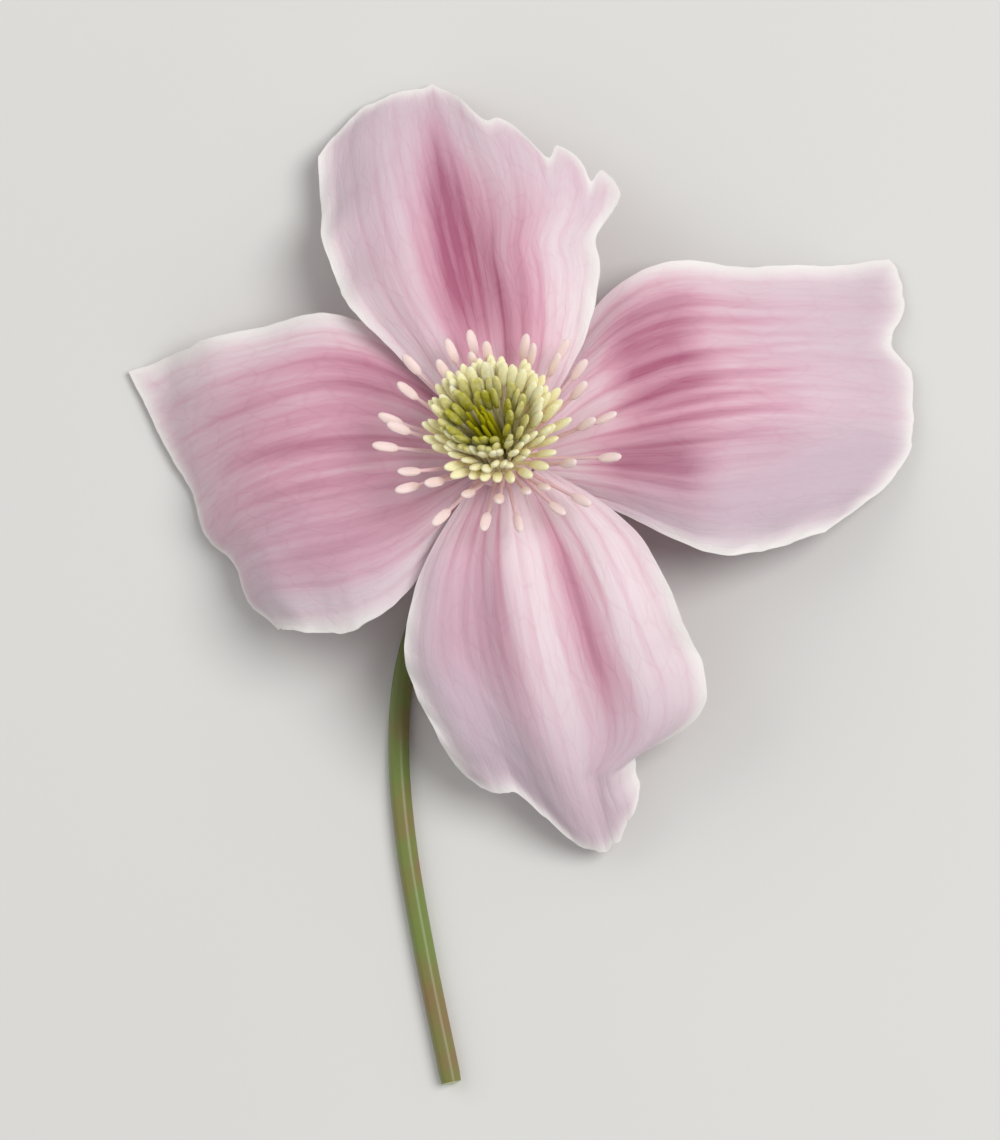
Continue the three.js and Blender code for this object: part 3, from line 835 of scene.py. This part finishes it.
def stalk_skin(name, settings):
    """Young stem: smooth green skin with a bronze tint in patches some 6 mm long."""
    material, tree, shader = new_material(name)
    spot = add_node(tree, "TexCoord", {}).outputs["Object"]
    patches = add_node(tree, "TexNoise", {"Vector": spot, "Scale": 1 / (6 * MM), "Detail": 3.0})
    tint = add_node(
        tree, "MapRange", {"Value": patches, "From Min": 0.42, "From Max": 0.62, "To Max": 0.8},
    )
    skin = add_node(
        tree, "Mix", {"Factor": tint, "A": settings.green, "B": settings.bronze}, data_type="RGBA",
    )
    speck = add_node(tree, "TexNoise", {"Vector": spot, "Scale": 1 / (0.25 * MM), "Detail": 2.0})
    bump = add_node(tree, "Bump", {"Height": speck, "Strength": 0.3, "Distance": 0.03 * MM})
    fill(tree, shader, {
        "Base Color": skin, "Normal": bump, "Roughness": 0.42,
        "Subsurface Weight": 0.1, "Subsurface Scale": 0.4 * MM,
    })
    return material


def painted_board(name, base):
    """The floor: a matt painted board with a barely visible unevenness, some 40 mm across."""
    material, tree, shader = new_material(name)
    spot = add_node(tree, "TexCoord", {}).outputs["Object"]
    cloud = add_node(tree, "TexNoise", {"Vector": spot, "Scale": 1 / (40 * MM), "Detail": 2.0})
    shade = add_node(tree, "MapRange", {"Value": cloud, **NOISE_RANGE, "To Max": 0.06})
    skin = add_node(tree, "Mix", {"Factor": shade, "A": base, "B": BOARD_GREY}, data_type="RGBA")
    fill(tree, shader, {"Base Color": skin, "Roughness": 0.85})
    return material


# ------------------------------
# Operators
# ------------------------------
def make_sepal(node, settings, seed, materials):
    """One sepal: a grid shaped by its formula, then given its thickness."""
    sepal = SEPALS[node]
    deselect_all()
    bpy.ops.mesh.primitive_grid_add(
        x_subdivisions=settings.across, y_subdivisions=settings.along, size=2, calc_uvs=True,
    )
    piece = bpy.context.object
    piece.name = node.replace("sepal_", "petal_")
    rib = midrib(sepal)
    marks = {mark: [] for mark in SEPAL_MARKS}
    thick = []
    for vertex in piece.data.vertices:
        u = -vertex.co.x
        v = 1 - (1 - (vertex.co.y + 1) / 2) ** TIP_CROWDING
        point, gap = sepal_point(sepal, settings, rib, u, v, seed)
        vertex.co = laid(place(settings, point))
        flush = flush_at(sepal, u, v)
        marks["flush"].append(flush)
        # Lilac and painted shade, less where the pink is strong
        marks["lilac_and_shade"].append(lilac_and_shade_at(sepal, u, v) * (1 - LILAC_LOSS * flush))
        marks["rim"].append(math.exp(-((gap / RIM_WIDTH) ** 1.5)) * fade("margin", v))
        marks["vein"].append(vein_at(settings, u, v, seed))
        thick.append(settings.thin + (1 - settings.thin) * fade("thickness", gap))
    for mark, values in marks.items():
        set_attribute(piece, mark, values)
    group = piece.vertex_groups.new(name="thickness")
    for index, weight in enumerate(thick):
        group.add([index], weight, "REPLACE")
    for material in materials:
        piece.data.materials.append(material)
    apply_modifier(
        piece, "SOLIDIFY", thickness=settings.thickness, offset=0, vertex_group="thickness",
        thickness_vertex_group=0, material_offset=1, material_offset_rim=0,
    )
    piece.vertex_groups.clear()
    smooth(piece, 60)
    return piece


class CLEMATIS_OT_add_sepals(bpy.types.Operator):
    """Adds the four sepals in two crossed pairs"""

    bl_idname = "clematis.add_sepals"
    bl_label = "Add Sepals"
    bl_options = {"REGISTER", "UNDO"}

    def execute(self, context):
        settings = context.scene.clematis_sepals
        materials = (
            petal_tissue("Sepal tissue, upper face", settings, back=False),
            petal_tissue("Sepal tissue, back", settings, back=True),
        )
        for index, node in enumerate(SEPALS):
            piece = make_sepal(node, settings, index * NOISE_STEP + NOISE_START, materials)
            finish_piece(piece, node, "sepal")
        return {"FINISHED"}


def stamen_template(sides):
    """An upright stamen of unit length, with its anther pinched into two lobes."""
    template = turned("stamen", sides, STAMEN_ROWS)
    # Past the rounding of the ring at ANTHER_START
    anther_from = ANTHER_START + 0.005
    for vertex in template.data.vertices:
        if vertex.co.z > anther_from:
            turn = math.atan2(vertex.co.y, vertex.co.x)
            lobe = LOBE_WAIST + LOBE_SWELL * abs(math.cos(turn)) ** 1.5
            vertex.co.x *= lobe
            vertex.co.y *= lobe * LOBE_FLATNESS
    for face in template.data.polygons:
        face.material_index = 1 if face.center.z > anther_from else 0
    return template


def make_whorl(name, whorl, context, template, materials, anther_length=None):
    """The threads of a whorl, copied from a template, with the collar that they stand on."""
    settings = context.scene.clematis_sepals
    collar = turned("collar", COLLAR_SIDES, whorl["collar"])
    place_all(collar, settings)
    set_attribute(collar, "ripe", [COLLAR_RIPENESS] * len(collar.data.vertices))
    for material in materials:
        collar.data.materials.append(material)
        template.data.materials.append(material)
    pieces = [collar]
    for root, knee, tip, outward, ripe, roll in whorl_curves(whorl):
        thread = copy_of(template)
        bend_thread(thread, settings, root, knee, tip, outward, roll, anther_length)
        set_attribute(thread, "ripe", [ripe] * len(thread.data.vertices))
        pieces.append(thread)
    remove(template)
    made = join(name, pieces)
    smooth(made)
    return made


class CLEMATIS_OT_add_stamens(bpy.types.Operator):
    """Adds the pale outer stamens and the yellow inner stamens"""

    bl_idname = "clematis.add_stamens"
    bl_label = "Add Stamens"
    bl_options = {"REGISTER", "UNDO"}

    def execute(self, context):
        stamens = context.scene.clematis_stamens
        pale = (
            waxy_tissue("Filament tissue, pale", stamens.pale_filament, 0xE8BFC8, mottle=1.5, grain=0.12),
            waxy_tissue("Anther tissue, cream", stamens.pale_anther, 0xF3D8D2, mottle=0.8, grain=0.09),
        )
        yellow = (
            waxy_tissue(
                "Filament tissue, yellow green", stamens.yellow_filament, 0xF4E9BC, mottle=1.5, grain=0.12,
            ),
            pollen_tissue("Anther tissue, pollen yellow", stamens),
        )
        for name, node, slot, whorl, materials in (
            ("pale_stamens", "stamens_outer", "stamen_pale", OUTER_STAMENS, pale),
            ("yellow_stamens", "stamens_inner", "stamen_yellow", INNER_STAMENS, yellow),
        ):
            template = stamen_template(stamens.sides)
            piece = make_whorl(name, whorl, context, template, materials, stamens.anther_length / MM)
            finish_piece(piece, node, slot)
        return {"FINISHED"}


class CLEMATIS_OT_add_styles(bpy.types.Operator):
    """Adds the head of seed vessels and its tuft of styles"""

    bl_idname = "clematis.add_styles"
    bl_label = "Add Styles"
    bl_options = {"REGISTER", "UNDO"}

    def execute(self, context):
        stamens = context.scene.clematis_stamens
        olive = waxy_tissue("Style tissue, olive", stamens.style, 0xB8B214, mottle=0.5, grain=0.1)
        template = turned("style", STYLE_SIDES, STYLE_ROWS)
        piece = make_whorl("style_tuft", STYLES, context, template, (olive,))
        finish_piece(piece, "styles", "style")
        return {"FINISHED"}


def make_stem(settings, stalk):
    """The stalk without its receptacle: a ribbed tube drawn upright, then bent along its line."""
    rows = [(k / stalk.rings, 1.0) for k in range(stalk.rings)]
    rows += [(1.0, CUT_RIM), (CUT_DRAWN, CUT_MIDDLE)]
    stem = turned("stem", stalk.sides, rows)
    for face in stem.data.polygons:
        face.material_index = 1 if face.center.z > CUT_FROM else 0
    for vertex in stem.data.vertices:
        turn = math.atan2(vertex.co.y, vertex.co.x)
        centre, ahead = stalk_line(settings, min(vertex.co.z, 1.0))
        if vertex.co.z > 1.0:
            centre = centre + ahead * CUT_RISE * MM
        across = ahead.cross(Vector((0, 0, 1))).normalized()
        above = across.cross(ahead)
        rib = 1 + RIB_HEIGHT * math.cos(stalk.ribs * turn)
        reach = math.hypot(vertex.co.x, vertex.co.y) * stalk.radius * rib
        vertex.co = centre + (across * math.cos(turn) + above * math.sin(turn)) * reach
        vertex.co.z = max(vertex.co.z, FLOOR_GAP * MM)
    return stem


class CLEMATIS_OT_add_stalk(bpy.types.Operator):
    """Adds the bent stalk with the receptacle that it swells into"""

    bl_idname = "clematis.add_stalk"
    bl_label = "Add Stalk"
    bl_options = {"REGISTER", "UNDO"}

    def execute(self, context):
        settings = context.scene.clematis_sepals
        stalk = context.scene.clematis_stalk
        stem = make_stem(settings, stalk)
        for material in (
            stalk_skin("Stem skin, green and bronze", stalk),
            waxy_tissue("Stem pith, fresh cut", stalk.pith, 0xB9C58A, mottle=0.3, grain=0.08),
            waxy_tissue("Receptacle tissue, pale green", stalk.bed, 0xAEB070, mottle=0.8, grain=0.1),
        ):
            stem.data.materials.append(material)
        head = turned("receptacle", RECEPTACLE_SIDES, RECEPTACLE_ROWS)
        place_all(head, settings)
        apply_modifier(stem, "BOOLEAN", operation="UNION", object=head, solver="EXACT")
        remove(head)
        for face in stem.data.polygons:
            if face.center.z > settings.height - BED_DEPTH * MM:
                face.material_index = 2
        stem.name = "green_stalk"
        smooth(stem)
        finish_piece(stem, "stalk", "stalk")
        return {"FINISHED"}


class CLEMATIS_OT_add_stage(bpy.types.Operator):
    """Adds the floor, the soft light and the camera"""

    bl_idname = "clematis.add_stage"
    bl_label = "Add Stage"
    bl_options = {"REGISTER", "UNDO"}

    def execute(self, context):
        stage = context.scene.clematis_stage
        deselect_all()
        bpy.ops.mesh.primitive_plane_add(size=stage.floor)
        floor = context.object
        floor.name = "floor"
        floor.data.materials.append(painted_board("Painted board, pale grey", stage.floor_colour))
        for name, (spot, size, watts) in LIGHTS.items():
            bpy.ops.object.light_add(type="AREA", location=spot)
            light = context.object
            light.name = name
            light.data.shape = "DISK"
            light.data.size = size
            light.data.energy = watts
            light.rotation_mode = "QUATERNION"
            light.rotation_quaternion = (-Vector(spot)).to_track_quat("-Z", "Y")
        world = bpy.data.worlds.new("soft_sky")
        world.use_nodes = True
        sky = world.node_tree.nodes["Background"]
        fill(world.node_tree, sky, {"Color": linear(0xFFFFFF), "Strength": stage.sky})
        context.scene.world = world
        context.scene.view_settings.view_transform = "Standard"
        self.aim_camera(context, stage)
        return {"FINISHED"}

    def aim_camera(self, context, stage):
        """Looks down on the bloom at the photograph's angle, with the whole flower in view."""
        back = Vector((math.tan(stage.tilt_x), -math.tan(stage.tilt_y), 1)).normalized()
        right = Vector((0, 1, 0)).cross(back).normalized()
        up = back.cross(right)
        low, high = CAD_BOX
        corners = [
            Vector((x, y, z)) for x in (low.x, high.x) for y in (low.y, high.y) for z in (low.z, high.z)
        ]
        spans = []
        target = Vector()
        for axis in (right, up):
            reach = [corner.dot(axis) for corner in corners]
            spans.append(max(reach) - min(reach))
            target += axis * (max(reach) + min(reach)) / 2
        bpy.ops.object.camera_add(location=target + back * stage.distance)
        camera = context.object
        camera.name = "camera"
        camera.rotation_mode = "QUATERNION"
        camera.rotation_quaternion = Matrix((right, up, back)).transposed().to_quaternion()
        tall = max(spans[1], spans[0] * PICTURE[1] / PICTURE[0]) * (1 + 2 * stage.margin)
        camera.data.sensor_width = SENSOR_WIDTH
        camera.data.lens = SENSOR_WIDTH * stage.distance / tall
        context.scene.camera = camera


class CLEMATIS_PT_panel(bpy.types.Panel):
    """Lists the steps and settings of the bloom"""

    bl_label = "Clematis Bloom"
    bl_idname = "CLEMATIS_PT_panel"
    bl_space_type = "VIEW_3D"
    bl_region_type = "UI"
    bl_category = "Clematis"

    def draw(self, context):
        for name, group, operators in STEPS:
            for operator in operators:
                self.layout.operator(operator.bl_idname)
            for key in group.__annotations__:
                self.layout.prop(getattr(context.scene, name), key)


# Each group of settings: its name on the scene, its class and the operators that it is for
STEPS = (
    ("clematis_sepals", ClematisSepalSettings, (CLEMATIS_OT_add_sepals,)),
    ("clematis_stamens", ClematisStamenSettings, (CLEMATIS_OT_add_stamens, CLEMATIS_OT_add_styles)),
    ("clematis_stalk", ClematisStalkSettings, (CLEMATIS_OT_add_stalk,)),
    ("clematis_stage", ClematisStageSettings, (CLEMATIS_OT_add_stage,)),
)
CLASSES = (
    *(group for _, group, _ in STEPS),
    *(operator for _, _, operators in STEPS for operator in operators),
    CLEMATIS_PT_panel,
)


def register():
    for item in CLASSES:
        bpy.utils.register_class(item)
    for name, group, _ in STEPS:
        setattr(bpy.types.Scene, name, PointerProperty(type=group))


def unregister():
    for name, _, _ in STEPS:
        delattr(bpy.types.Scene, name)
    for item in reversed(CLASSES):
        bpy.utils.unregister_class(item)


def main():
    register()
    bpy.ops.clematis.add_sepals()
    bpy.ops.clematis.add_stamens()
    bpy.ops.clematis.add_styles()
    bpy.ops.clematis.add_stalk()
    bpy.ops.clematis.add_stage()


if __name__ == "__main__":
    main()
